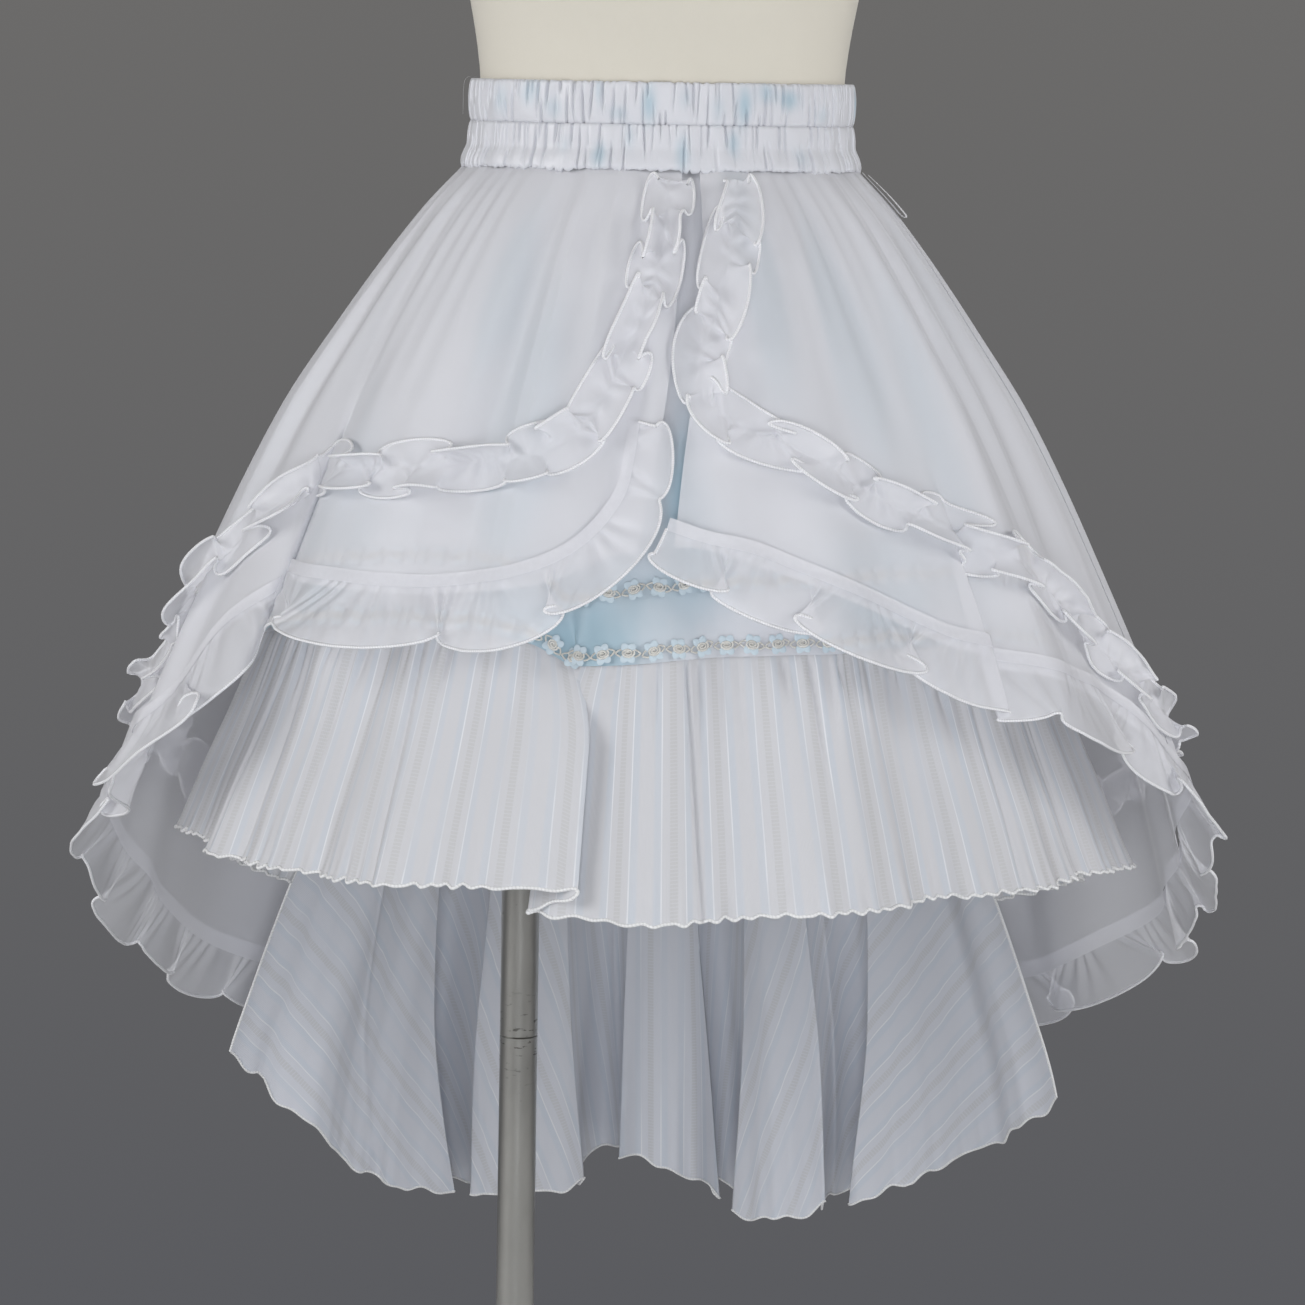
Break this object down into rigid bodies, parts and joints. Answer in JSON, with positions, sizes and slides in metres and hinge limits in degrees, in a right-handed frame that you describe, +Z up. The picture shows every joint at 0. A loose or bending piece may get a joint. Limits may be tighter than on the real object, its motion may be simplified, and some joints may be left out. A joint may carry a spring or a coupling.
{
  "type": "bustle skirt on a dress form stand",
  "caption": "High-low bustle skirt with split sheer overskirt, ruffles and long back flounce, on a limbless dress form with pole stand.",
  "frame": {"origin": "centre of the stand base's underside, on the floor", "axes": "+Z up along the form, -Y towards the skirt's open front, +X to the viewer's right"},
  "size_m": [0.7673, 0.7257, 1.4863],
  "materials": {
    "satin_print": "white satin printed with soft aqua clouds",
    "striped_dobby": "white cotton woven with ladder stripes and pale blue bands",
    "organza": "sheer white organza",
    "frill_organza": "sheer white organza with a corded white edge",
    "flower_braid": "ivory cord and pale blue petals",
    "ribbon": "narrow white ribbon",
    "form_cover": "smooth cream jersey over a shell",
    "steel": "satin steel"
  },
  "bodies": {
    "root": {"waistband_upper": "satin_print", "waistband_lower": "satin_print", "underskirt_front": "satin_print", "underskirt_back": "satin_print", "flounce_front": "striped_dobby", "flounce_tail": "striped_dobby", "overskirt_left": "organza", "overskirt_right": "organza", "overskirt_back": "organza", "frill_trim": "frill_organza", "frill_hem": "frill_organza", "braid_upper": "flower_braid", "braid_lower": "flower_braid", "hanger_loop_left": "ribbon", "hanger_loop_right": "ribbon", "form_torso": "form_cover", "form_neck_plate": "steel", "form_flange": "steel", "pole_upper": "steel", "pole_lower": "steel", "pole_socket": "steel", "stand_base": "steel"}
  },
  "joints": []
}
